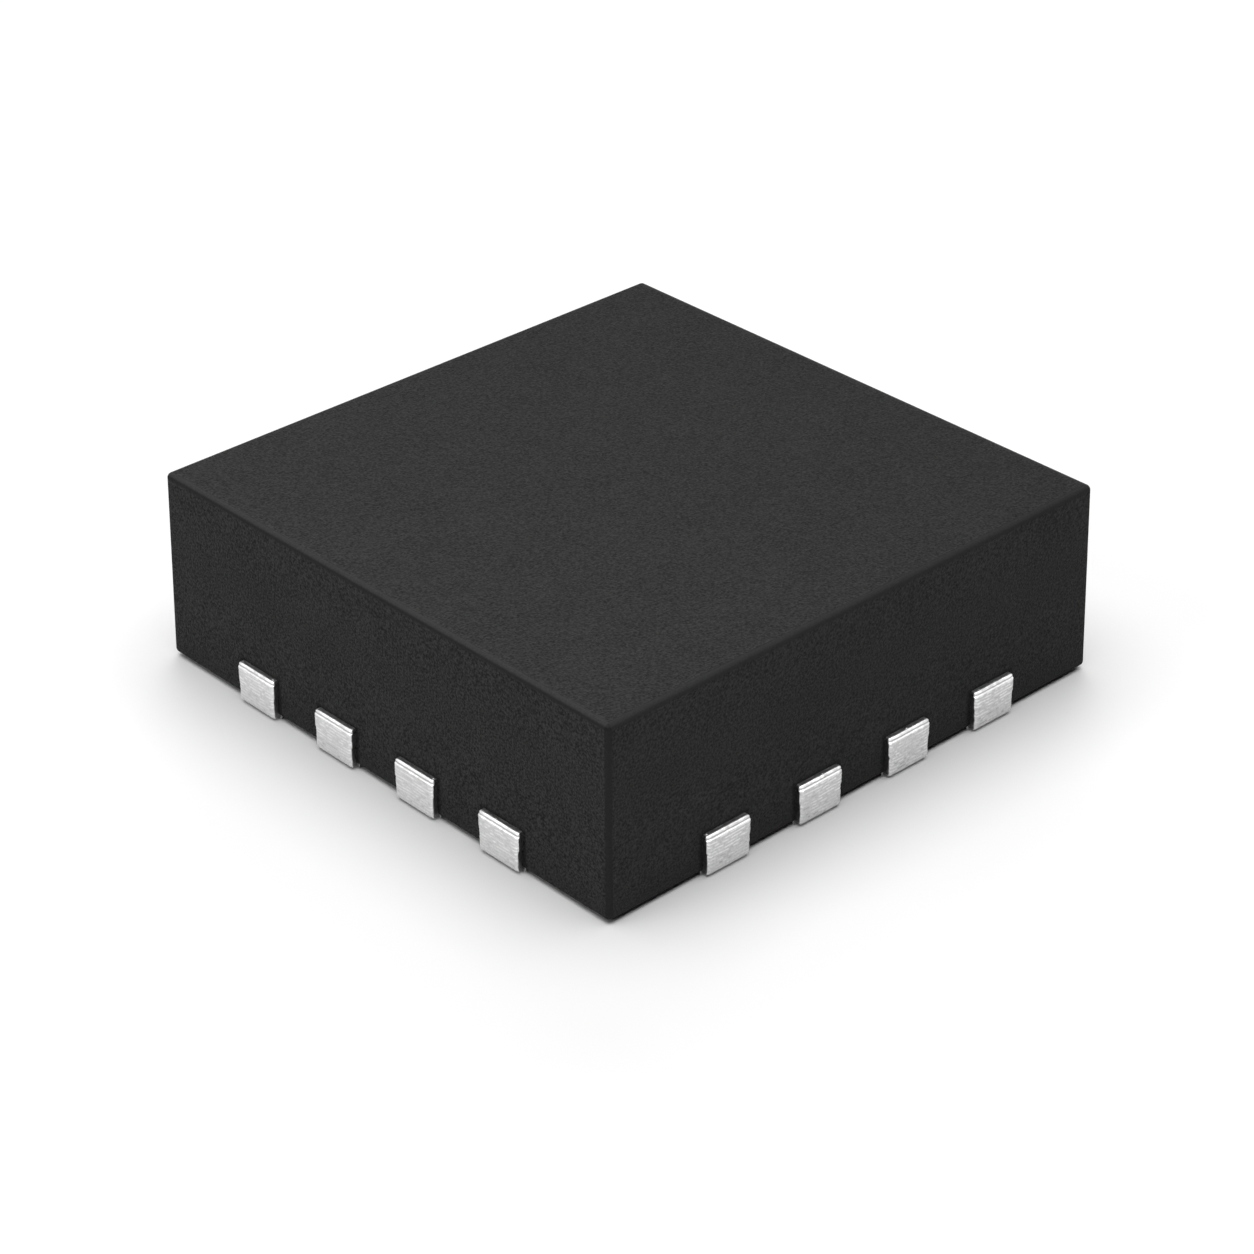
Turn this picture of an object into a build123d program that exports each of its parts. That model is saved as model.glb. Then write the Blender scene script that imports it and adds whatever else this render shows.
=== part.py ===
from build123d import *
import math
import os

# Quad flat no-lead package: a square block of epoxy compound with metal lands set round its underside.
# Millimetres, +Z up. The origin is the middle of the footprint, on the plane that the lands rest on.
# Lead 1 is next to the pin one corner at +X +Y, and the leads are counted anticlockwise seen from above.

# Compound block
body_length = 2.94
body_width = 2.94
body_height = 0.93
body_draft = 1.0
standoff = 0.015
edge_round = 0.025

# Metal frame, etched and stamped from one sheet, then cut apart
frame_thickness = 0.203
half_etch_depth = 0.1

# Leads
leads_per_side = 4
lead_pitch = 0.545
lead_width = 0.26
land_length = 0.38
lead_proud = 0.03
lead_lip = 0.05
lip_corner_cut = 0.06
tip_foot_round = 0.022
tip_corner_cut = 0.012
tip_edge_break = 0.012

# Die paddle, whose underside is the thermal pad
pad_length = 1.45
pad_width = 1.45
pad_rim = 0.09
pin_one_chamfer = 0.3
tie_bar_width = 0.1
tie_bar_cover = 0.15

# Die and the adhesive that holds it
attach_thickness = 0.02
attach_fillet = 0.015
die_length = 1.2
die_width = 1.2
die_thickness = 0.25

# Bond wires
wire_diameter = 0.025
ball_diameter = 0.06
ball_height = 0.016
bond_pad_inset = 0.07
bond_pad_pitch = 0.26
loop_height = 0.13
loop_crown = 0.22
loop_sag = 0.02
loop_bend = 0.05
stitch_setback = 0.3
stitch_length = 0.07
stitch_width = 0.045
stitch_thickness = 0.006
wire_side_count = 8

side_count = 4
lead_count = side_count * leads_per_side
die_floor = frame_thickness + attach_thickness
die_top = die_floor + die_thickness
core_thickness = frame_thickness - half_etch_depth

os.makedirs("parts", exist_ok=True)


def side_frame(side):
    """Plane whose x axis points out of a side and whose y axis runs along it, in counting order."""
    return Plane.XY.rotated((0, 0, 360 / side_count * (side + 1)))


def half_span(side, length, width):
    """Half of a length by width outline, measured towards a side."""
    return (width, length)[side % 2] / 2


def row_offset(place, pitch):
    """Distance from the middle of a side to one place in its row."""
    return (place - (leads_per_side - 1) / 2) * pitch


def lead_frame(number):
    """Plane at the root of a lead, where it leaves the block: x out of the side, y along it."""
    side, place = divmod(number - 1, leads_per_side)
    frame = side_frame(side)
    root = (half_span(side, body_length, body_width), row_offset(place, lead_pitch), 0)
    return Plane(origin=frame.from_local_coords(root), x_dir=frame.x_dir, z_dir=frame.z_dir)


def strip(length, width):
    """Straight strip drawn inwards from the plane's origin."""
    with Locations((-length / 2, 0)):
        Rectangle(length, width)


# Leads: a round-ended land of full thickness, a thinner strip that reaches past it as a lip
# for the compound to grip, and a tip that stands out of the side, rounded at its foot
land_straight = land_length - lead_proud - lead_width / 2
strip_length = land_length - lead_proud + lead_lip
leads = []
for number in range(1, lead_count + 1):
    root = lead_frame(number)
    outward = Axis(root.origin, root.x_dir)
    section_middle = root.from_local_coords((0, 0, frame_thickness / 2))
    section = Plane(origin=section_middle, x_dir=root.y_dir, z_dir=root.x_dir)
    with BuildPart() as lead:
        with BuildSketch(root):
            strip(land_straight, lead_width)
            with Locations((-land_straight, 0)):
                Circle(lead_width / 2)
        extrude(amount=frame_thickness)
        with BuildSketch(root.offset(half_etch_depth)) as core:
            strip(strip_length, lead_width)
            chamfer(core.vertices().group_by(Axis.X)[0], lip_corner_cut)
        extrude(amount=core_thickness)
        with BuildSketch(section) as tip:
            Rectangle(lead_width, frame_thickness)
            fillet(tip.vertices().group_by(Axis.Y)[0], tip_foot_round)
            chamfer(tip.vertices().group_by(Axis.Y)[-1], tip_corner_cut)
        extrude(amount=lead_proud)
        outer_face = lead.faces().sort_by(outward)[-1]
        top_and_corner_edges = outer_face.edges().sort_by(Axis.Z)[-3:]
        chamfer(top_and_corner_edges, tip_edge_break)
    lead.part.label = f"lead_{number:02d}"
    leads.append(lead.part)

# Die paddle: the pad at full thickness, a thinner rim round it, and a tie bar towards each corner
with BuildPart() as paddle:
    with BuildSketch() as pad:
        Rectangle(pad_length, pad_width)
        chamfer(pad.vertices().sort_by_distance((body_length, body_width))[0], pin_one_chamfer)
    extrude(amount=frame_thickness)
    with BuildSketch(Plane.XY.offset(half_etch_depth)):
        offset(pad.sketch, amount=pad_rim, kind=Kind.INTERSECTION)
        for x_sign, y_sign in ((1, 1), (-1, 1), (-1, -1), (1, -1)):
            bar_end = Vector(
                x_sign * (body_length / 2 - tie_bar_cover),
                y_sign * (body_width / 2 - tie_bar_cover),
            )
            bearing = math.degrees(math.atan2(bar_end.Y, bar_end.X))
            with Locations(Location(bar_end / 2, (0, 0, bearing))):
                Rectangle(bar_end.length, tie_bar_width)
    extrude(amount=core_thickness)
paddle.part.label = "die_paddle"

# Die attach: a thin bed of adhesive that spreads out to a small fillet at its foot
attach_lean = math.degrees(math.atan2(attach_fillet, attach_thickness))
with BuildPart() as attach:
    with BuildSketch(Plane.XY.offset(frame_thickness)):
        Rectangle(die_length + 2 * attach_fillet, die_width + 2 * attach_fillet)
    extrude(amount=attach_thickness, taper=attach_lean)
attach.part.label = "die_attach"

# Die: a sawn square of silicon
with BuildPart() as die:
    with BuildSketch(Plane.XY.offset(die_floor)):
        Rectangle(die_length, die_width)
    extrude(amount=die_thickness)
die.part.label = "silicon_die"

# Bond wires: a ball on the die, a loop over its edge, and a flattened stitch on the lead
wires = []
for number in range(1, lead_count + 1):
    side, place = divmod(number - 1, leads_per_side)
    frame = side_frame(side)
    bond_pad = frame.from_local_coords(
        (
            half_span(side, die_length, die_width) - bond_pad_inset,
            row_offset(place, bond_pad_pitch),
            die_top,
        )
    )
    stitch = lead_frame(number).from_local_coords((lead_proud - stitch_setback, 0, frame_thickness))
    run = Vector(stitch.X - bond_pad.X, stitch.Y - bond_pad.Y, 0)
    span = run.length
    loop_plane = Plane(origin=bond_pad, x_dir=run, z_dir=run.cross(Vector(0, 0, 1)))
    stitch_plane = Plane(origin=stitch, x_dir=run, z_dir=(0, 0, 1))
    with BuildPart() as wire:
        with BuildSketch(Plane(origin=bond_pad, x_dir=run, z_dir=(0, 0, 1))):
            RegularPolygon(ball_diameter / 2, wire_side_count, major_radius=False)
        extrude(amount=ball_height)
        with BuildLine(loop_plane) as loop:
            Polyline(
                (0, ball_height),
                (0, loop_height - loop_bend),
                (loop_bend, loop_height),
                (loop_crown, loop_height - loop_sag),
                (span, frame_thickness - die_top),
            )
        with BuildSketch(Plane(origin=bond_pad + Vector(0, 0, ball_height), x_dir=run, z_dir=(0, 0, 1))):
            RegularPolygon(wire_diameter / 2, wire_side_count, major_radius=False)
        sweep(path=loop.wire(), transition=Transition.RIGHT)
        split(bisect_by=Plane.XY.offset(frame_thickness), keep=Keep.TOP)
        with BuildSketch(stitch_plane):
            Rectangle(stitch_length, stitch_width)
        extrude(amount=stitch_thickness)
    wire.part.label = f"bond_wire_{number:02d}"
    wires.append(wire.part)

# Moulded body: drafted block with rounded edges, set round everything that it holds
with BuildPart() as body:
    with BuildSketch(Plane.XY.offset(standoff)):
        Rectangle(body_length, body_width)
    extrude(amount=body_height, taper=body_draft)
    uprights = body.edges().filter_by(Plane.XY, reverse=True)
    fillet(uprights + body.faces().sort_by(Axis.Z)[-1].edges(), edge_round)
    for inner in leads + wires + [paddle.part, attach.part, die.part]:
        add(inner, mode=Mode.SUBTRACT)
body.part.label = "mould_body"

for piece in leads + wires + [paddle.part, attach.part, die.part, body.part]:
    export_step(piece, f"parts/{piece.label}.step")
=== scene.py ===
import math

import bpy
from mathutils import Matrix, Quaternion, Vector, noise


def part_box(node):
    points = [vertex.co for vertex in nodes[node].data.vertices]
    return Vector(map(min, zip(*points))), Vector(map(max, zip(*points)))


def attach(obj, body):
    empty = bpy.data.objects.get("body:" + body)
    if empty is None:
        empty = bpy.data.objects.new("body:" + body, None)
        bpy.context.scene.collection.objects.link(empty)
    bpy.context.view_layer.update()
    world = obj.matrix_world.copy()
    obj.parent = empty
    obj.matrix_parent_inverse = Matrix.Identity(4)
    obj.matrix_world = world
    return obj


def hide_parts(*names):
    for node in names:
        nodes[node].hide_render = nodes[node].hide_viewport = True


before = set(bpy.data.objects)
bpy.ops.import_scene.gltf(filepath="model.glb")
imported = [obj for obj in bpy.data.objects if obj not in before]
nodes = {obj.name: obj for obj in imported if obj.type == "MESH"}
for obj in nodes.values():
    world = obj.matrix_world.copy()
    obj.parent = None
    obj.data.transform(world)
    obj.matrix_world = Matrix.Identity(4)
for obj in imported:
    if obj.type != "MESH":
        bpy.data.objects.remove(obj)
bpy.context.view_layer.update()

# Lengths are in millimetres, unless a comment or a docstring says otherwise. Blender takes metres.
MM = 0.001

# Sizes that the frame gives, from the block and from two neighbouring leads on its -y side
SIDE_COUNT = 4
LEADS_PER_SIDE = 4
LEAD_COUNT = SIDE_COUNT * LEADS_PER_SIDE
body_low, body_high = [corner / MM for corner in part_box("mould_body")]
lead_low, lead_high = [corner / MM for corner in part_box("lead_09")]
next_lead_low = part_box("lead_10")[0] / MM
BODY_FOOT_HALF = body_high.x
BODY_FOOT = body_low.z
BODY_TOP = body_high.z
LEAD_WIDTH = lead_high.x - lead_low.x
LEAD_LENGTH = lead_high.y - lead_low.y
LEAD_PITCH = next_lead_low.x - lead_low.x
LEAD_PROUD = body_low.y - lead_low.y
FRAME_THICKNESS = lead_high.z

# Sizes of the CAD model that its boxes don't give
BODY_DRAFT = math.radians(1.0)
EDGE_ROUND = 0.025
LAND_STRAIGHT = 0.22
STRIP_LENGTH = LEAD_LENGTH - LEAD_PROUD
LIP_CORNER_CUT = 0.06
HALF_ETCH_DEPTH = 0.1

# Top edge of a lead's tip: a sloping ledge, an upright riser and a rounded crown
LEDGE_IN = 0.0058
LEDGE_DOWN = 0.0044
RISER = 0.0076
CROWN_IN = 0.0105
CROWN_DOWN = 0.0100
RIM_DOWN = CROWN_DOWN + RISER + LEDGE_DOWN


# Node helpers

def give(tree, socket, value):
    """Sets a socket to a constant, or links an output to it."""
    if isinstance(value, bpy.types.NodeSocket):
        tree.links.new(value, socket)
    else:
        socket.default_value = value


def give_all(tree, node, values):
    """Sets or links a node's inputs by their names."""
    for name, value in values.items():
        give(tree, node.inputs[name], value)


def add_node(tree, kind, *values, **settings):
    """Node of a kind. Values go to its inputs in order, by constant or by link; settings are its own."""
    made = tree.nodes.new(kind)
    for key, value in settings.items():
        setattr(made, key, value)
    for place, value in enumerate(values):
        give(tree, made.inputs[place], value)
    return made


def maths(tree, operation, *values):
    """Result of one sum on numbers."""
    return add_node(tree, "ShaderNodeMath", *values, operation=operation).outputs[0]


def product(tree, first, *others):
    """Numbers multiplied with each other."""
    for factor in others:
        first = maths(tree, "MULTIPLY", first, factor)
    return first


def vector_maths(tree, operation, *values):
    """Result of one sum on vectors."""
    return add_node(tree, "ShaderNodeVectorMath", *values, operation=operation).outputs[0]


def scaled_vector(tree, vector, factor):
    """Vector times a number."""
    made = vector_maths(tree, "SCALE", vector)
    made.node.inputs["Scale"].default_value = factor
    return made


def axes_of(tree, vector):
    """Outputs X, Y and Z of a vector."""
    return add_node(tree, "ShaderNodeSeparateXYZ", vector).outputs


NOISE_MEAN = 0.5


def noise_of(tree, place, scale=1.0, detail=1.0, roughness=0.5):
    """Noise round its mean at a place, in features per unit of that place."""
    made = add_node(tree, "ShaderNodeTexNoise", place, noise_dimensions="3D")
    give_all(tree, made, {"Scale": scale, "Detail": detail, "Roughness": roughness})
    return made.outputs["Fac"]


def ramp(tree, value, low, high, to_low=0.0, to_high=1.0, smooth=True):
    """Value taken from the range low..high to the range to_low..to_high."""
    kind = "SMOOTHSTEP" if smooth else "LINEAR"
    made = add_node(tree, "ShaderNodeMapRange", value, interpolation_type=kind)
    give_all(tree, made, {"From Min": low, "From Max": high, "To Min": to_low, "To Max": to_high})
    return made.outputs["Result"]


def falling(tree, value, low, high):
    """1 up to the low value, then falling to 0 at the high one."""
    return ramp(tree, value, low, high, 1.0, 0.0)


def between(tree, share, first, second):
    """Number between two numbers."""
    made = add_node(tree, "ShaderNodeMix", data_type="FLOAT")
    for socket, value in zip((made.inputs[0], made.inputs[2], made.inputs[3]), (share, first, second)):
        give(tree, socket, value)
    return made.outputs[0]


def mixed(tree, share, first, second):
    """Colour between two colours."""
    made = add_node(tree, "ShaderNodeMix", data_type="RGBA")
    colour_inputs = [socket for socket in made.inputs if socket.type == "RGBA"]
    for socket, value in zip((made.inputs["Factor"], *colour_inputs), (share, first, second)):
        give(tree, socket, value)
    return [socket for socket in made.outputs if socket.type == "RGBA"][0]


def off_middle(tree, value):
    """Distance from the middle of the whole step that a value is in."""
    return maths(tree, "ABSOLUTE", maths(tree, "SUBTRACT", maths(tree, "FRACT", value), 0.5))


def scaled_by(tree, level, mask, change):
    """Level, made lighter or darker by a share of itself where the mask is 1."""
    return product(tree, level, maths(tree, "MULTIPLY_ADD", mask, change, 1.0))


def grey(level):
    """Grey colour from a constant level."""
    return (level, level, level, 1.0)


def grey_of(tree, level):
    """Grey colour from a level that is an output."""
    return add_node(tree, "ShaderNodeCombineColor", level, level, level).outputs[0]


def bump(tree, height, distance):
    """Normal bumped by a height from 0 to 1, where 1 is a distance."""
    made = add_node(tree, "ShaderNodeBump")
    give_all(tree, made, {"Strength": 1.0, "Distance": distance * MM, "Height": height})
    return made.outputs["Normal"]


def new_material(name):
    """Material with one Principled shader, its tree, the shader, and the place in the piece's own frame."""
    material = bpy.data.materials.new(name)
    material.use_nodes = True
    tree = material.node_tree
    tree.nodes.clear()
    shader = add_node(tree, "ShaderNodeBsdfPrincipled")
    add_node(tree, "ShaderNodeOutputMaterial", shader.outputs["BSDF"])
    place = scaled_vector(tree, add_node(tree, "ShaderNodeTexCoord").outputs["Object"], 1 / MM)
    return material, tree, shader, place


# Black moulding compound: its grain, pores and clouds, and its grey levels from dark grains to light ones

GRAIN_PER_MM = 100.0
PORES_PER_MM = 35.0
CLOUDS_PER_MM = 4.0
GRAIN_SHARE = 0.72
PORES_SHARE = 0.16
CLOUDS_SHARE = 0.12
GRAIN_RANGE = (0.28, 0.72)
COMPOUND_LEVELS = (0.0138, 0.0482)
COMPOUND_SMOOTH = 0.0312
# Grain contrast on the x sides, raised as painted light from the side
PAINTED_LIGHT_GRAIN_ON_X_SIDES = 1.4
GRAIN_LOST_ON_EDGES = 0.8
GRAIN_HEIGHT = 0.0085
COMPOUND_ROUGHNESS = 0.85
COMPOUND_GLOSS = 0.06

# Reach of the smoothed grain and of the painted highlight and shade along the block's edges and on its top,
# in radii of their rounding
UPRIGHT_REACH = (0.6, 1.0)
TOP_EDGE_REACH = (0.9, 1.2)
UPPER_REACH = (0.8, 1.8)
LOWER_REACH = (0.7, 1.1)
TOP_REACH = (0.2, 1.0)

# Where the top edge's upper half ends and its lower half starts, and where one side meets the next
UPPER_LEAN = (-0.004, 0.010)
LOWER_LEAN = (0.002, 0.014)
SIDE_LEAN = (-0.004, 0.004)

# Reach of the painted shade round each lead
RING_REACH = (0.004, 0.024)

# Changes of level, as shares of it: on the y sides and the x sides, or alike on all of them. All are
# painted light: a highlight on the upper half of the top edges, and shade on their lower half, on the
# upright edges, on the top and round each lead
UPPER_RIM_PAINTED_HIGHLIGHTS = (0.09, 0.32)
LOWER_RIM_PAINTED_SHADES = (-0.12, -0.30)
UPRIGHT_PAINTED_SHADE = -0.26
TOP_PAINTED_SHADE = -0.035
RING_PAINTED_SHADE = -0.5

# Painted fall of light: change of level for each millimetre of x, on the sides and on the top
PAINTED_LIGHT_FALLOFF_ALONG_X = (-0.04, -0.08)


def near_edge(tree, depth, reach):
    """1 at the block's edge, falling to 0 over a reach in radii of its rounding."""
    return falling(tree, depth, *(EDGE_ROUND * radii for radii in reach))


def painted_shade_round_leads(tree, depth_x, depth_y, axes):
    """1 on the block's sides right beside and above each lead, falling to 0 a little way off: where painted
    shade goes.
    """
    row_half = LEADS_PER_SIDE / 2 * LEAD_PITCH
    along = between(tree, maths(tree, "LESS_THAN", depth_x, depth_y), axes["X"], axes["Y"])
    pitches = maths(tree, "DIVIDE", maths(tree, "ADD", along, row_half), LEAD_PITCH)
    from_middle = product(tree, off_middle(tree, pitches), LEAD_PITCH)
    beside = maths(tree, "MAXIMUM", maths(tree, "SUBTRACT", from_middle, LEAD_WIDTH / 2), 0.0)
    above = maths(tree, "MAXIMUM", maths(tree, "SUBTRACT", axes["Z"], FRAME_THICKNESS), 0.0)
    squares = maths(tree, "MULTIPLY_ADD", beside, beside, product(tree, above, above))
    ring = falling(tree, maths(tree, "SQRT", squares), *RING_REACH)
    in_row = maths(tree, "LESS_THAN", maths(tree, "ABSOLUTE", along), row_half)
    at_side = maths(tree, "LESS_THAN", maths(tree, "MINIMUM", depth_x, depth_y), EDGE_ROUND)
    return product(tree, ring, in_row, at_side)


def compound_level(tree, place, grain, on_x_side):
    """Grey level of the plain faces: grains with some pores and clouds, their contrast raised on the x
    sides as painted light.
    """
    pores = noise_of(tree, place, PORES_PER_MM, detail=2.0)
    clouds = noise_of(tree, place, CLOUDS_PER_MM, detail=3.0, roughness=0.6)
    tone = maths(tree, "MULTIPLY_ADD", pores, PORES_SHARE, product(tree, clouds, CLOUDS_SHARE))
    tone = maths(tree, "MULTIPLY_ADD", grain, GRAIN_SHARE, tone)
    strength = between(tree, on_x_side, 1.0, PAINTED_LIGHT_GRAIN_ON_X_SIDES)
    tone = maths(tree, "MULTIPLY_ADD", maths(tree, "SUBTRACT", tone, NOISE_MEAN), strength, NOISE_MEAN)
    return ramp(tree, tone, *GRAIN_RANGE, *COMPOUND_LEVELS, smooth=False)


def compound_material():
    """Matt black compound: fine grain, smoothed on the edges, with painted highlight and shade along its
    edges and painted shade on its top and round its leads.
    """
    material, tree, shader, place = new_material("compound_matt_black")
    axes = axes_of(tree, place)
    face = maths(tree, "MULTIPLY_ADD", axes["Z"], -math.tan(BODY_DRAFT), BODY_FOOT_HALF)
    depth_x = maths(tree, "SUBTRACT", face, maths(tree, "ABSOLUTE", axes["X"]))
    depth_y = maths(tree, "SUBTRACT", face, maths(tree, "ABSOLUTE", axes["Y"]))
    depth_side = maths(tree, "MINIMUM", depth_x, depth_y)
    depth_top = maths(tree, "SUBTRACT", BODY_TOP, axes["Z"])
    lean = maths(tree, "SUBTRACT", depth_top, depth_side)

    # Where a place is: on the top, at an x side, on an upright edge, or on the top edge or half of it
    on_top = near_edge(tree, depth_top, TOP_REACH)
    faces_x = ramp(tree, maths(tree, "SUBTRACT", depth_y, depth_x), *SIDE_LEAN)
    on_x_side = product(tree, faces_x, maths(tree, "LESS_THAN", depth_side, EDGE_ROUND))
    upright = near_edge(tree, maths(tree, "MAXIMUM", depth_x, depth_y), UPRIGHT_REACH)
    top_edge = near_edge(tree, maths(tree, "MAXIMUM", depth_top, depth_side), TOP_EDGE_REACH)
    upper = product(tree, near_edge(tree, depth_side, UPPER_REACH), falling(tree, lean, *UPPER_LEAN))
    lower = product(tree, near_edge(tree, depth_top, LOWER_REACH), ramp(tree, lean, *LOWER_LEAN))

    grain = noise_of(tree, place, GRAIN_PER_MM)
    smoothed = product(tree, maths(tree, "MAXIMUM", top_edge, upright), GRAIN_LOST_ON_EDGES)
    level = between(tree, smoothed, compound_level(tree, place, grain, on_x_side), COMPOUND_SMOOTH)
    changes = (
        # Painted highlight on the upper half of the top edges
        (upper, between(tree, faces_x, *UPPER_RIM_PAINTED_HIGHLIGHTS)),
        # Painted fall of light along x
        (axes["X"], between(tree, on_top, *PAINTED_LIGHT_FALLOFF_ALONG_X)),
        # Painted shade over the whole top
        (on_top, TOP_PAINTED_SHADE),
        # Painted shade on the lower half of the top edges
        (lower, between(tree, faces_x, *LOWER_RIM_PAINTED_SHADES)),
        # Painted shade on the upright edges
        (upright, UPRIGHT_PAINTED_SHADE),
        # Painted shade round each lead
        (painted_shade_round_leads(tree, depth_x, depth_y, axes), RING_PAINTED_SHADE),
    )
    for mask, change in changes:
        level = scaled_by(tree, level, mask, change)
    height = product(tree, grain, maths(tree, "SUBTRACT", 1.0, smoothed))
    give_all(tree, shader, {
        "Base Color": grey_of(tree, level),
        "Roughness": COMPOUND_ROUGHNESS,
        "Specular IOR Level": COMPOUND_GLOSS,
        "Normal": bump(tree, height, GRAIN_HEIGHT),
    })
    return material


# Tin plate on the leads: its level, and the fine grain that runs along the lead's width

TIN_LEVEL = 0.760
TIN_ROUGHNESS = 0.38
TIN_GRAIN_PER_MM = (110.0, 14.0, 110.0)
TIN_GRAIN_HEIGHT = 0.0014

# Millimetres between the patterns of two leads, for each metre between the leads themselves
PATTERN_SHIFT = 7000.0

# Hatching: strokes in swaying rows, each broken into light and dark dashes
HATCH_PER_MM = 64.0
SWAY_PER_MM = 8.0
SWAY_IN_ROWS = 0.6
STROKE_EDGE = (0.12, 0.32)
DASHES_PER_MM = 28.0
SHIFT_FOR_EACH_ROW = 17.37
PATCHES_PER_MM = 9.0
PATCH_RANGE = (0.30, 0.52)
LEAST_LIGHT_IN_PATCHES = 0.30
LIGHT_DASHES = (0.40, 0.55)
DARK_DASHES = (0.34, 0.42)
DASH_LIGHT = 0.19
DASH_DARK = 0.13
SPECKS_PER_MM = 95.0
SPECK_CONTRAST = 0.20

# Height over which the dashes change, and the strength of light and of dark ones below and above it
DASH_CHANGE_HEIGHT = (0.03, 0.12)
LIGHT_STRENGTHS = (0.50, 0.95)
DARK_STRENGTHS = (1.0, 0.45)

# The two rows of leads on the y sides get painted shade below their rim, and stronger hatching
Y_ROWS_PAINTED_SHADE = -0.105
Y_ROWS_HATCH_CONTRAST = 1.5
Y_ROWS_SHADE_FADE = 0.006

# Reach of the painted highlight on the upright edges, measured in from a lead's flank
EDGE_HIGHLIGHT_REACH = (0.034, 0.006)
EDGE_PAINTED_HIGHLIGHT = 0.07

# Flanks with painted shade: how far behind the front they start, and how far a face there or in front looks
# sideways
FLANK_START = (0.014, 0.009)
FLANK_LEAN = (0.2, 0.6)
FRONT_FLANK_LEAN = (0.80, 0.98)
FLANK_PAINTED_SHADE = -0.72

# Torn strip behind the crown, with a painted dark reflection: how far behind the front it starts, how far
# it looks up, and its tears
STRIP_START = (0.0150, 0.0118)
STRIP_LEAN = (0.3, 0.6)
TORN_PER_MM = (140.0, 30.0, 140.0)
TORN_RANGE = (0.42, 0.60)
LEAST_TORN = 0.70
STRIP_PAINTED_REFLECTION = -0.50

# Painted shade along the riser, whose two borders fade a little more inside it than outside
RISER_SHADE_FADE_OUTSIDE = 0.001
RISER_SHADE_FADE_INSIDE = 0.0015
RISER_PAINTED_SHADE = -0.33


def hatching(tree, spot, axes):
    """Strokes across a lead's face, light and dark along each row in its own way, and specks over them."""
    sway = noise_of(tree, spot, SWAY_PER_MM, detail=0.0)
    climb = product(tree, maths(tree, "ADD", axes["Z"], axes["X"]), HATCH_PER_MM)
    climb = maths(tree, "MULTIPLY_ADD", sway, SWAY_IN_ROWS, climb)
    stroke = falling(tree, off_middle(tree, climb), *STROKE_EDGE)
    row_shift = product(tree, maths(tree, "FLOOR", climb), SHIFT_FOR_EACH_ROW)
    own = axes_of(tree, spot)
    along = product(tree, own["Y"], DASHES_PER_MM)
    dashes = noise_of(tree, add_node(tree, "ShaderNodeCombineXYZ", along, row_shift, own["X"]).outputs[0])
    patches = noise_of(tree, spot, PATCHES_PER_MM)
    upper_part = ramp(tree, axes["Z"], *DASH_CHANGE_HEIGHT)
    light = product(
        tree,
        ramp(tree, dashes, *LIGHT_DASHES),
        ramp(tree, patches, *PATCH_RANGE, LEAST_LIGHT_IN_PATCHES, 1.0),
        between(tree, upper_part, *LIGHT_STRENGTHS),
        stroke,
        DASH_LIGHT,
    )
    dark = product(
        tree,
        falling(tree, dashes, *DARK_DASHES),
        between(tree, upper_part, *DARK_STRENGTHS),
        stroke,
        DASH_DARK,
    )
    specks = maths(tree, "SUBTRACT", noise_of(tree, spot, SPECKS_PER_MM), NOISE_MEAN)
    return maths(tree, "MULTIPLY_ADD", specks, SPECK_CONTRAST, maths(tree, "SUBTRACT", light, dark))


def behind_front(tree, axes, start):
    """1 well behind a lead's front, falling to 0 between two distances from it."""
    return falling(tree, axes["X"], *(LEAD_PROUD - distance for distance in start))


def shaded_flanks(tree, axes, normal):
    """1 on the flanks and on faces that look sideways, where painted shade goes."""
    sideways = maths(tree, "ABSOLUTE", normal["Y"])
    flank = product(tree, ramp(tree, sideways, *FLANK_LEAN), behind_front(tree, axes, FLANK_START))
    return maths(tree, "MAXIMUM", flank, ramp(tree, sideways, *FRONT_FLANK_LEAN))


def strip_dark_reflection(tree, spot, axes, normal):
    """1 where the level strip behind the crown is torn, and a little less where it is torn least: where a
    painted dark reflection goes.
    """
    torn = noise_of(tree, vector_maths(tree, "MULTIPLY", spot, TORN_PER_MM))
    facing_up = ramp(tree, normal["Z"], *STRIP_LEAN)
    tears = ramp(tree, torn, *TORN_RANGE, 1.0, LEAST_TORN)
    return product(tree, behind_front(tree, axes, STRIP_START), facing_up, tears)


def riser_shade(tree, axes):
    """1 along the riser of the rim, where painted shade goes."""
    top = FRAME_THICKNESS - CROWN_DOWN
    foot = top - RISER
    above_foot = ramp(tree, axes["Z"], foot - RISER_SHADE_FADE_OUTSIDE, foot + RISER_SHADE_FADE_INSIDE)
    below_top = falling(tree, axes["Z"], top - RISER_SHADE_FADE_INSIDE, top + RISER_SHADE_FADE_OUTSIDE)
    return product(tree, above_foot, below_top)


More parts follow.
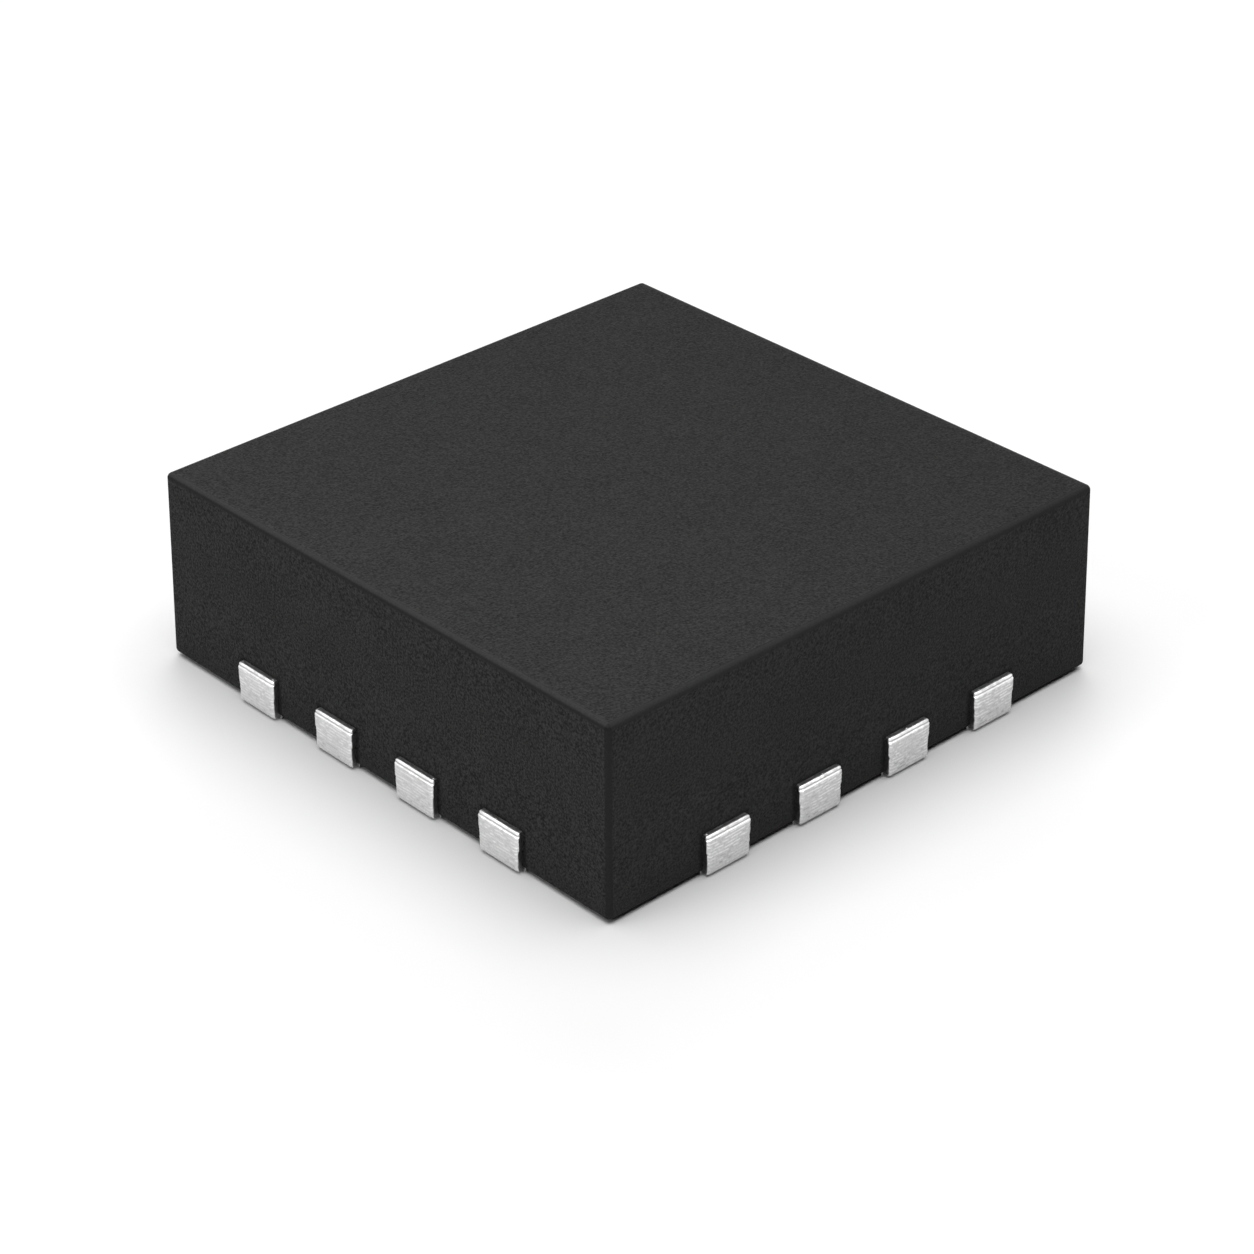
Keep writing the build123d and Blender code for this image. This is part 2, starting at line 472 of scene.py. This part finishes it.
def tin_material():
    """Tin plate with fine dashes along the lead's width, which is y in the piece's own frame."""
    material, tree, shader, place = new_material("tin_plate_brushed")
    axes = axes_of(tree, place)
    normal = axes_of(tree, add_node(tree, "ShaderNodeTexCoord").outputs["Normal"])
    middle = add_node(tree, "ShaderNodeObjectInfo").outputs["Location"]
    spot = vector_maths(tree, "ADD", place, scaled_vector(tree, middle, PATTERN_SHIFT))
    sides = axes_of(tree, vector_maths(tree, "ABSOLUTE", middle))
    # Painted shade and stronger hatching on the two rows of leads on the y sides
    on_y_rows = maths(tree, "GREATER_THAN", sides["Y"], sides["X"])
    contrast = between(tree, on_y_rows, 1.0, Y_ROWS_HATCH_CONTRAST)
    level = maths(tree, "MULTIPLY_ADD", hatching(tree, spot, axes), contrast, TIN_LEVEL)
    rim_foot = FRAME_THICKNESS - RIM_DOWN
    below_rim = falling(tree, axes["Z"], rim_foot - Y_ROWS_SHADE_FADE, rim_foot)
    level = scaled_by(tree, level, product(tree, below_rim, on_y_rows), Y_ROWS_PAINTED_SHADE)
    # Painted highlight on the upright edges
    across = maths(tree, "ABSOLUTE", axes["Y"])
    edge_highlight = ramp(tree, across, *(LEAD_WIDTH / 2 - distance for distance in EDGE_HIGHLIGHT_REACH))
    level = maths(tree, "MINIMUM", scaled_by(tree, level, edge_highlight, EDGE_PAINTED_HIGHLIGHT), 1.0)
    # Painted shade on the flanks
    level = scaled_by(tree, level, shaded_flanks(tree, axes, normal), FLANK_PAINTED_SHADE)
    # Painted dark reflection of the block on the strip behind the crown
    level = scaled_by(tree, level, strip_dark_reflection(tree, spot, axes, normal), STRIP_PAINTED_REFLECTION)
    # Painted shade on the riser
    level = scaled_by(tree, level, riser_shade(tree, axes), RISER_PAINTED_SHADE)
    grain = noise_of(tree, vector_maths(tree, "MULTIPLY", spot, TIN_GRAIN_PER_MM))
    give_all(tree, shader, {
        "Base Color": grey_of(tree, level),
        "Metallic": 1.0,
        "Roughness": TIN_ROUGHNESS,
        "Normal": bump(tree, grain, TIN_GRAIN_HEIGHT),
    })
    return material


# Materials of the pieces inside the block

def mottled_material(name, dark, light, per_mm, metallic, roughness, grain_height):
    """Simple material that is mottled from a dark to a light colour."""
    material, tree, shader, place = new_material(name)
    mottling = noise_of(tree, place, per_mm, detail=3.0, roughness=0.6)
    give_all(tree, shader, {
        "Base Color": mixed(tree, mottling, dark, light),
        "Metallic": metallic,
        "Roughness": roughness,
        "Normal": bump(tree, mottling, grain_height),
    })
    return material


compound = compound_material()
tin = tin_material()
etched_tin = mottled_material(
    "tin_plate_etched",
    dark=grey(0.62),
    light=grey(0.8),
    per_mm=40.0,
    metallic=1.0,
    roughness=0.45,
    grain_height=0.0015,
)
adhesive = mottled_material(
    "silver_filled_adhesive",
    dark=(0.42, 0.41, 0.39, 1.0),
    light=(0.6, 0.59, 0.56, 1.0),
    per_mm=90.0,
    metallic=0.0,
    roughness=0.6,
    grain_height=0.002,
)
silicon = mottled_material(
    "sawn_silicon",
    dark=(0.07, 0.075, 0.09, 1.0),
    light=(0.11, 0.12, 0.14, 1.0),
    per_mm=60.0,
    metallic=0.0,
    roughness=0.3,
    grain_height=0.0005,
)
gold = mottled_material(
    "gold_wire_drawn",
    dark=(0.9, 0.62, 0.22, 1.0),
    light=(1.0, 0.76, 0.33, 1.0),
    per_mm=120.0,
    metallic=1.0,
    roughness=0.25,
    grain_height=0.0004,
)


# Pieces that stay as the CAD has them

def dress(name, material):
    """Puts a material in every slot of a CAD node."""
    for slot in nodes[name].material_slots:
        slot.link = "OBJECT"
        slot.material = material


dress("die_paddle", etched_tin)
dress("die_attach", adhesive)
dress("silicon_die", silicon)
for number in range(1, LEAD_COUNT + 1):
    dress(f"bond_wire_{number:02d}", gold)


# Pieces with a mesh of their own

QUARTER = math.pi / 2


def stacked(name, rings, sharp_angle):
    """Closed mesh from a stack of rings, lowest first, smooth up to an angle in degrees."""
    count = len(rings[0])
    vertices = [point * MM for ring in rings for point in ring]
    faces = []
    for level in range(len(rings) - 1):
        low_ring, high_ring = level * count, (level + 1) * count
        for place in range(count):
            after = (place + 1) % count
            faces.append((low_ring + place, low_ring + after, high_ring + after, high_ring + place))
    last_ring = (len(rings) - 1) * count
    faces.append(tuple(reversed(range(count))))
    faces.append(tuple(last_ring + place for place in range(count)))
    mesh = bpy.data.meshes.new(name)
    mesh.from_pydata(vertices, [], faces)
    mesh.validate()
    mesh.shade_smooth()
    mesh.set_sharp_from_angle(angle=math.radians(sharp_angle))
    return mesh


def add_piece(name, mesh, material, place, node):
    """Piece at a place in metres, which rides on the root and stands for a CAD node."""
    mesh.materials.append(material)
    piece = bpy.data.objects.new(name, mesh)
    bpy.context.scene.collection.objects.link(piece)
    piece.matrix_world = place
    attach(piece, "root")
    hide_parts(node)
    return piece


# Block: the drafted square of the CAD model, with its lower edges rounded as all the others are

LEAST_ROUND = 0.0003
FLAT_MARGIN = 0.001
BLOCK_ARC_STEPS = 12
BLOCK_SHARP_ANGLE = 10


def block_half(height):
    """Half of the block's side at a height."""
    return BODY_FOOT_HALF - (height - BODY_FOOT) * math.tan(BODY_DRAFT)


def block_ring(half, radius, height):
    """Square ring with round corners. A point right before and after each corner keeps the sides flat."""
    radius = max(radius, LEAST_ROUND)
    middle = half - radius
    corner = [(half, middle - FLAT_MARGIN)]
    for step in range(BLOCK_ARC_STEPS + 1):
        turn = QUARTER * step / BLOCK_ARC_STEPS
        corner.append((middle + radius * math.cos(turn), middle + radius * math.sin(turn)))
    corner.append((middle - FLAT_MARGIN, half))
    turned = [Matrix.Rotation(QUARTER * side, 3, "Z") for side in range(SIDE_COUNT)]
    return [matrix @ Vector((x, y, height)) for matrix in turned for x, y in corner]


def plain_ring(height):
    """Ring on the block's plain sides."""
    return block_ring(block_half(height), EDGE_ROUND, height)


def rounded_edge(level, first_turn, last_turn):
    """Rings round the block's lower or upper edge, whose rounding has its centre at a level."""
    tangent = level + EDGE_ROUND * math.sin(BODY_DRAFT)
    centre = block_half(tangent) - EDGE_ROUND * math.cos(BODY_DRAFT)
    rings = []
    for step in range(BLOCK_ARC_STEPS + 1):
        turn = first_turn + (last_turn - first_turn) * step / BLOCK_ARC_STEPS
        reach = EDGE_ROUND * math.cos(turn)
        rings.append(block_ring(centre + reach, reach, level + EDGE_ROUND * math.sin(turn)))
    return rings


def place_block():
    """The block, from the middle of its underside round both edges to the middle of its top."""
    low_level = BODY_FOOT + EDGE_ROUND
    high_level = BODY_TOP - EDGE_ROUND
    rise = EDGE_ROUND * math.sin(BODY_DRAFT)
    flat_inset = EDGE_ROUND + FLAT_MARGIN
    rings = [block_ring(BODY_FOOT_HALF - flat_inset, LEAST_ROUND, BODY_FOOT)]
    rings += rounded_edge(low_level, -QUARTER, BODY_DRAFT)
    rings += [plain_ring(low_level + rise + FLAT_MARGIN), plain_ring(high_level + rise - FLAT_MARGIN)]
    rings += rounded_edge(high_level, BODY_DRAFT, QUARTER)
    rings.append(block_ring(block_half(BODY_TOP) - flat_inset, LEAST_ROUND, BODY_TOP))
    mesh = stacked("compound_block", rings, BLOCK_SHARP_ANGLE)
    add_piece("compound_block", mesh, compound, Matrix.Identity(4), "mould_body")


place_block()


# Leads: stacks of rings in the lead's own frame, x out of the side, y along it, z up from the floor

BOX_MARGIN = 0.0001
ROOT_DEPTH = 0.012
LEAD_SHARP_ANGLE = 50

# Underside and foot
UNDER_SOFT = 0.005
FRONT_FOOT_ROUND = 0.029
SIDE_FOOT_ROUND = 0.022
TOP_CORNER_ROUND = 0.013

# Flanks, with the cusp that the etch leaves on them, and the tip's corners in plan
FLANK_GAP = 0.002
ETCH_CUSP = 0.006
CUSP_HEIGHT = 0.118
CUSP_SPREAD = 0.006
PLAN_ROUND_OUT = 0.009
PLAN_ROUND_ALONG = 0.024

# Saw burr behind the crown
BURR_INSET = 0.0195
BURR_HEIGHT = 0.004
BURRS_PER_MM = 75.0

# Dents in the front, and ragged edges of the flanks
DENT_DEPTH = 0.0016
DENTS_PER_MM = 45.0
RAGGED_DEPTH = 0.0045
RAGGED_MOST_OUT = 0.0015
RAGGED_PER_MM_UP = 95.0
RAGGED_PER_MM_ALONG = 2.0
RAGGED_FADE_HEIGHT = 0.03
RAGGED_LEAST_SHARE = 0.25
WORN_BAND = 0.03

# Distance between two leads in each pattern of wear
DENT_SHIFT = 7.7
RAGGED_SHIFT = 3.1
BURR_SHIFT = 9.3

# Points and rings
FRONT_POINTS = 48
ARC_STEPS = 8
FLANK_STEPS = 5
INNER_STEPS = 24
LIP_STEPS = (5, 4, 6, 4, 5)
UNDER_RINGS = 4
FOOT_RINGS = 10
LOWER_RINGS = 8
UPPER_RINGS = 14
LEDGE_STEPS = 4
CROWN_STEPS = 9


def clamped(value, low, high):
    """Value kept between two others."""
    return min(max(value, low), high)


def round_inset(radius, height):
    """How far a quarter round has drawn in at a height below its end."""
    if height >= radius:
        return 0.0
    return radius - math.sqrt(radius**2 - (radius - height) ** 2)


def inner_end(upper, inset):
    """Points round the inner end of a lead, from its +y side to its -y side: a half round or a cut lip."""
    half = LEAD_WIDTH / 2 - inset
    if not upper:
        turns = [QUARTER + math.pi * step / INNER_STEPS for step in range(INNER_STEPS + 1)]
        return [(-LAND_STRAIGHT + half * math.cos(turn), half * math.sin(turn)) for turn in turns]
    end = -STRIP_LENGTH + inset
    cut = LIP_CORNER_CUT
    corners = [
        (-LAND_STRAIGHT, half), (end + cut, half), (end, half - cut),
        (end, cut - half), (end + cut, -half), (-LAND_STRAIGHT, -half),
    ]
    points = []
    for start, stop, count in zip(corners, corners[1:], LIP_STEPS):
        for step in range(count):
            share = step / count
            points.append(tuple(a + (b - a) * share for a, b in zip(start, stop)))
    return points + [corners[-1]]


def lead_plan(front_inset, side_inset, land_inset, upper):
    """Plan of one ring: the tip from its -y flank round to its +y flank, and the land behind it."""
    reach = LEAD_PROUD - BOX_MARGIN - front_inset
    half = LEAD_WIDTH / 2 - FLANK_GAP - side_inset
    flank_end = reach - PLAN_ROUND_OUT
    flank = [-ROOT_DEPTH + (flank_end + ROOT_DEPTH) * step / FLANK_STEPS for step in range(FLANK_STEPS)]
    turns = [QUARTER * step / ARC_STEPS for step in range(ARC_STEPS)]
    arc = [
        (flank_end + PLAN_ROUND_OUT * math.sin(turn), half - PLAN_ROUND_ALONG * (1 - math.cos(turn)))
        for turn in turns
    ]
    flat = half - PLAN_ROUND_ALONG
    tip = [(x, -half) for x in flank] + [(x, -y) for x, y in arc]
    tip += [(reach, -flat + 2 * flat * step / FRONT_POINTS) for step in range(FRONT_POINTS + 1)]
    tip += list(reversed(arc)) + [(x, half) for x in reversed(flank)]
    land_half = LEAD_WIDTH / 2 - land_inset
    land = [(-ROOT_DEPTH, land_half), (-LAND_STRAIGHT / 2, land_half)]
    land += inner_end(upper, land_inset)
    land += [(-LAND_STRAIGHT / 2, -land_half), (-ROOT_DEPTH, -land_half)]
    return tip, land


def rim_profile():
    """Rings of the tip's top edge: how far each has gone in, and how far it is below the top."""
    rings = []
    for step in range(LEDGE_STEPS + 1):
        share = step / LEDGE_STEPS
        rings.append((LEDGE_IN * share, RIM_DOWN - LEDGE_DOWN * share))
    rings.append((LEDGE_IN, CROWN_DOWN + RISER / 2))
    for step in range(CROWN_STEPS + 1):
        turn = QUARTER * step / CROWN_STEPS
        rings.append((LEDGE_IN + CROWN_IN * (1 - math.cos(turn)), CROWN_DOWN * (1 - math.sin(turn))))
    behind_burr = 2 * BURR_INSET - LEDGE_IN - CROWN_IN
    return rings + [(BURR_INSET, 0.0), (behind_burr, 0.0)]


def lead_levels():
    """Height, front inset, flank inset, land inset and which inner end, for each ring of a lead."""
    foot_heights = {0.0}
    for radius, count in (
        (UNDER_SOFT, UNDER_RINGS), (FRONT_FOOT_ROUND, FOOT_RINGS), (SIDE_FOOT_ROUND, FOOT_RINGS)
    ):
        turns = [QUARTER * step / count for step in range(count + 1)]
        foot_heights |= {round(radius * (1 - math.cos(turn)), 5) for turn in turns}
    levels = []
    for height in sorted(foot_heights):
        insets = [round_inset(radius, height) for radius in (FRONT_FOOT_ROUND, SIDE_FOOT_ROUND, UNDER_SOFT)]
        levels.append((height, *insets, False))
    foot_top = levels[-1][0]
    for step in range(1, LOWER_RINGS + 1):
        height = foot_top + (HALF_ETCH_DEPTH - foot_top) * step / LOWER_RINGS
        levels.append((height, 0.0, 0.0, 0.0, False))
    rim_foot = FRAME_THICKNESS - RIM_DOWN
    for step in range(UPPER_RINGS):
        height = HALF_ETCH_DEPTH + (rim_foot - HALF_ETCH_DEPTH) * step / UPPER_RINGS
        levels.append((height, 0.0, 0.0, 0.0, True))
    for inset, drop in rim_profile():
        levels.append((FRAME_THICKNESS - drop, inset, round_inset(TOP_CORNER_ROUND, drop), 0.0, True))
    return levels


def worn(x, y, z, inset, number):
    """Point of a numbered lead's tip after its wear: dents, cusped and ragged flanks, and a burr."""
    dent = noise.noise(Vector((y * DENTS_PER_MM, z * DENTS_PER_MM, number * DENT_SHIFT))) * DENT_DEPTH
    above_cusp = clamped((z - CUSP_HEIGHT) / CUSP_SPREAD + 0.5, 0.0, 1.0)
    raggedness = clamped((FRAME_THICKNESS - z) / RAGGED_FADE_HEIGHT, RAGGED_LEAST_SHARE, 1.0) * RAGGED_DEPTH
    place = Vector((z * RAGGED_PER_MM_UP, number * RAGGED_SHIFT, y * RAGGED_PER_MM_ALONG))
    narrow = (1 - above_cusp) * ETCH_CUSP + max(noise.noise(place) * raggedness, -RAGGED_MOST_OUT)
    at_flank = max(0.0, (abs(y) - LEAD_WIDTH / 2 + WORN_BAND) / WORN_BAND)
    burr = 0.0
    if inset == BURR_INSET and x > 0.0:
        burr = max(noise.noise(Vector((y * BURRS_PER_MM, number * BURR_SHIFT, 0.0))), 0.0) * BURR_HEIGHT
    return Vector((x + min(dent, 0.0), y - math.copysign(narrow * at_flank, y), z + burr))


def lead_mesh(name, number):
    """Closed mesh of one lead."""
    rings = []
    for height, front_inset, side_inset, land_inset, upper in lead_levels():
        tip, land = lead_plan(front_inset, side_inset, land_inset, upper)
        ring = [worn(x, y, height, front_inset, number) for x, y in tip]
        rings.append(ring + [Vector((x, y, height)) for x, y in land])
    return stacked(name, rings, LEAD_SHARP_ANGLE)


def lead_place(node, side):
    """Place in metres of a lead's own frame, at the foot of the block's side."""
    low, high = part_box(node)
    turn = Matrix.Rotation(QUARTER * (side + 1), 4, "Z")
    outward = turn @ Vector((1, 0, 0))
    middle = (low + high) / 2
    reach = max(abs(low.dot(outward)), abs(high.dot(outward)))
    root = middle + outward * (reach - LEAD_PROUD * MM - middle.dot(outward))
    root.z = 0.0
    return Matrix.Translation(root) @ turn


def place_leads():
    """All leads, hidden from diffuse light so that they throw no glare on the floor and the block."""
    for number in range(1, LEAD_COUNT + 1):
        side = (number - 1) // LEADS_PER_SIDE
        node = f"lead_{number:02d}"
        name = f"tin_{node}"
        piece = add_piece(name, lead_mesh(name, number), tin, lead_place(node, side), node)
        piece.visible_diffuse = False


place_leads()


# Floor and lights, in metres and watts

FLOOR_HALF = 0.25
FLOOR_DROP = 0.000002
WHITE_LEVEL = 0.985
FILL_LEVEL = 0.01

# Camera, in millimetres and degrees, solved from the corners of the block in the photograph
CAMERA_PLACE = (-9.34594, -10.0991, 8.35956)
CAMERA_AIM = (0.5837226, 0.6310101, -0.5109738)
CAMERA_ROLL = -0.2849
CAMERA_LENS = 101.245
CAMERA_SENSOR = 36.0
CAMERA_NEAREST = 0.5
CAMERA_FARTHEST = 10000.0


def make_floor():
    """Plain white floor, a touch below the leads so that no two faces lie in one plane."""
    mesh = bpy.data.meshes.new("floor")
    corners = [(x * FLOOR_HALF, y * FLOOR_HALF, 0.0) for x, y in ((-1, -1), (1, -1), (1, 1), (-1, 1))]
    mesh.from_pydata(corners, [], [(0, 1, 2, 3)])
    floor = bpy.data.objects.new("floor", mesh)
    floor.location = (0.0, 0.0, -FLOOR_DROP)
    bpy.context.scene.collection.objects.link(floor)
    material = bpy.data.materials.new("floor_white")
    material.use_nodes = True
    tree = material.node_tree
    matt = {"Base Color": grey(WHITE_LEVEL), "Roughness": 1.0, "Specular IOR Level": 0.0}
    give_all(tree, tree.nodes["Principled BSDF"], matt)
    mesh.materials.append(material)


def make_world():
    """Dim fill from all round, which reflections and the camera see as white."""
    world = bpy.data.worlds.new("studio")
    bpy.context.scene.world = world
    world.use_nodes = True
    tree = world.node_tree
    path = add_node(tree, "ShaderNodeLightPath").outputs
    seen = maths(tree, "MAXIMUM", path["Is Camera Ray"], path["Is Glossy Ray"])
    seen = maths(tree, "MAXIMUM", seen, path["Is Transmission Ray"])
    strength = ramp(tree, seen, 0.0, 1.0, FILL_LEVEL, WHITE_LEVEL, smooth=False)
    give_all(tree, tree.nodes["Background"], {"Color": grey(1.0), "Strength": strength})


def add_softbox(name, direction, diameter, power):
    """Round area lamp, one metre away, that faces the object from a direction."""
    light = bpy.data.lights.new(name, "AREA")
    light.shape = "DISK"
    light.size = diameter
    light.energy = power
    lamp = bpy.data.objects.new(name, light)
    towards = Vector(direction).normalized()
    lamp.location = towards
    lamp.rotation_mode = "QUATERNION"
    lamp.rotation_quaternion = towards.to_track_quat("Z", "Y")
    bpy.context.scene.collection.objects.link(lamp)


def make_camera():
    """Camera that stands where the photograph was taken."""
    data = bpy.data.cameras.new("camera")
    data.sensor_width = CAMERA_SENSOR
    data.lens = CAMERA_LENS
    data.clip_start = CAMERA_NEAREST * MM
    data.clip_end = CAMERA_FARTHEST * MM
    camera = bpy.data.objects.new("camera", data)
    camera.rotation_mode = "QUATERNION"
    camera.location = Vector(CAMERA_PLACE) * MM
    roll = Quaternion((0, 0, 1), math.radians(CAMERA_ROLL))
    camera.rotation_quaternion = Vector(CAMERA_AIM).to_track_quat("-Z", "Y") @ roll
    bpy.context.scene.collection.objects.link(camera)
    bpy.context.scene.camera = camera


make_floor()
make_world()
add_softbox("overhead_softbox", direction=(0.0, 0.0, 1.0), diameter=1.4, power=13.4)
add_softbox("left_softbox", direction=(-1.0, 0.35, 0.65), diameter=0.65, power=1.35)
add_softbox("back_softbox", direction=(0.707, 0.707, 0.577), diameter=0.65, power=1.8)
make_camera()
bpy.context.scene.view_settings.view_transform = "Standard"
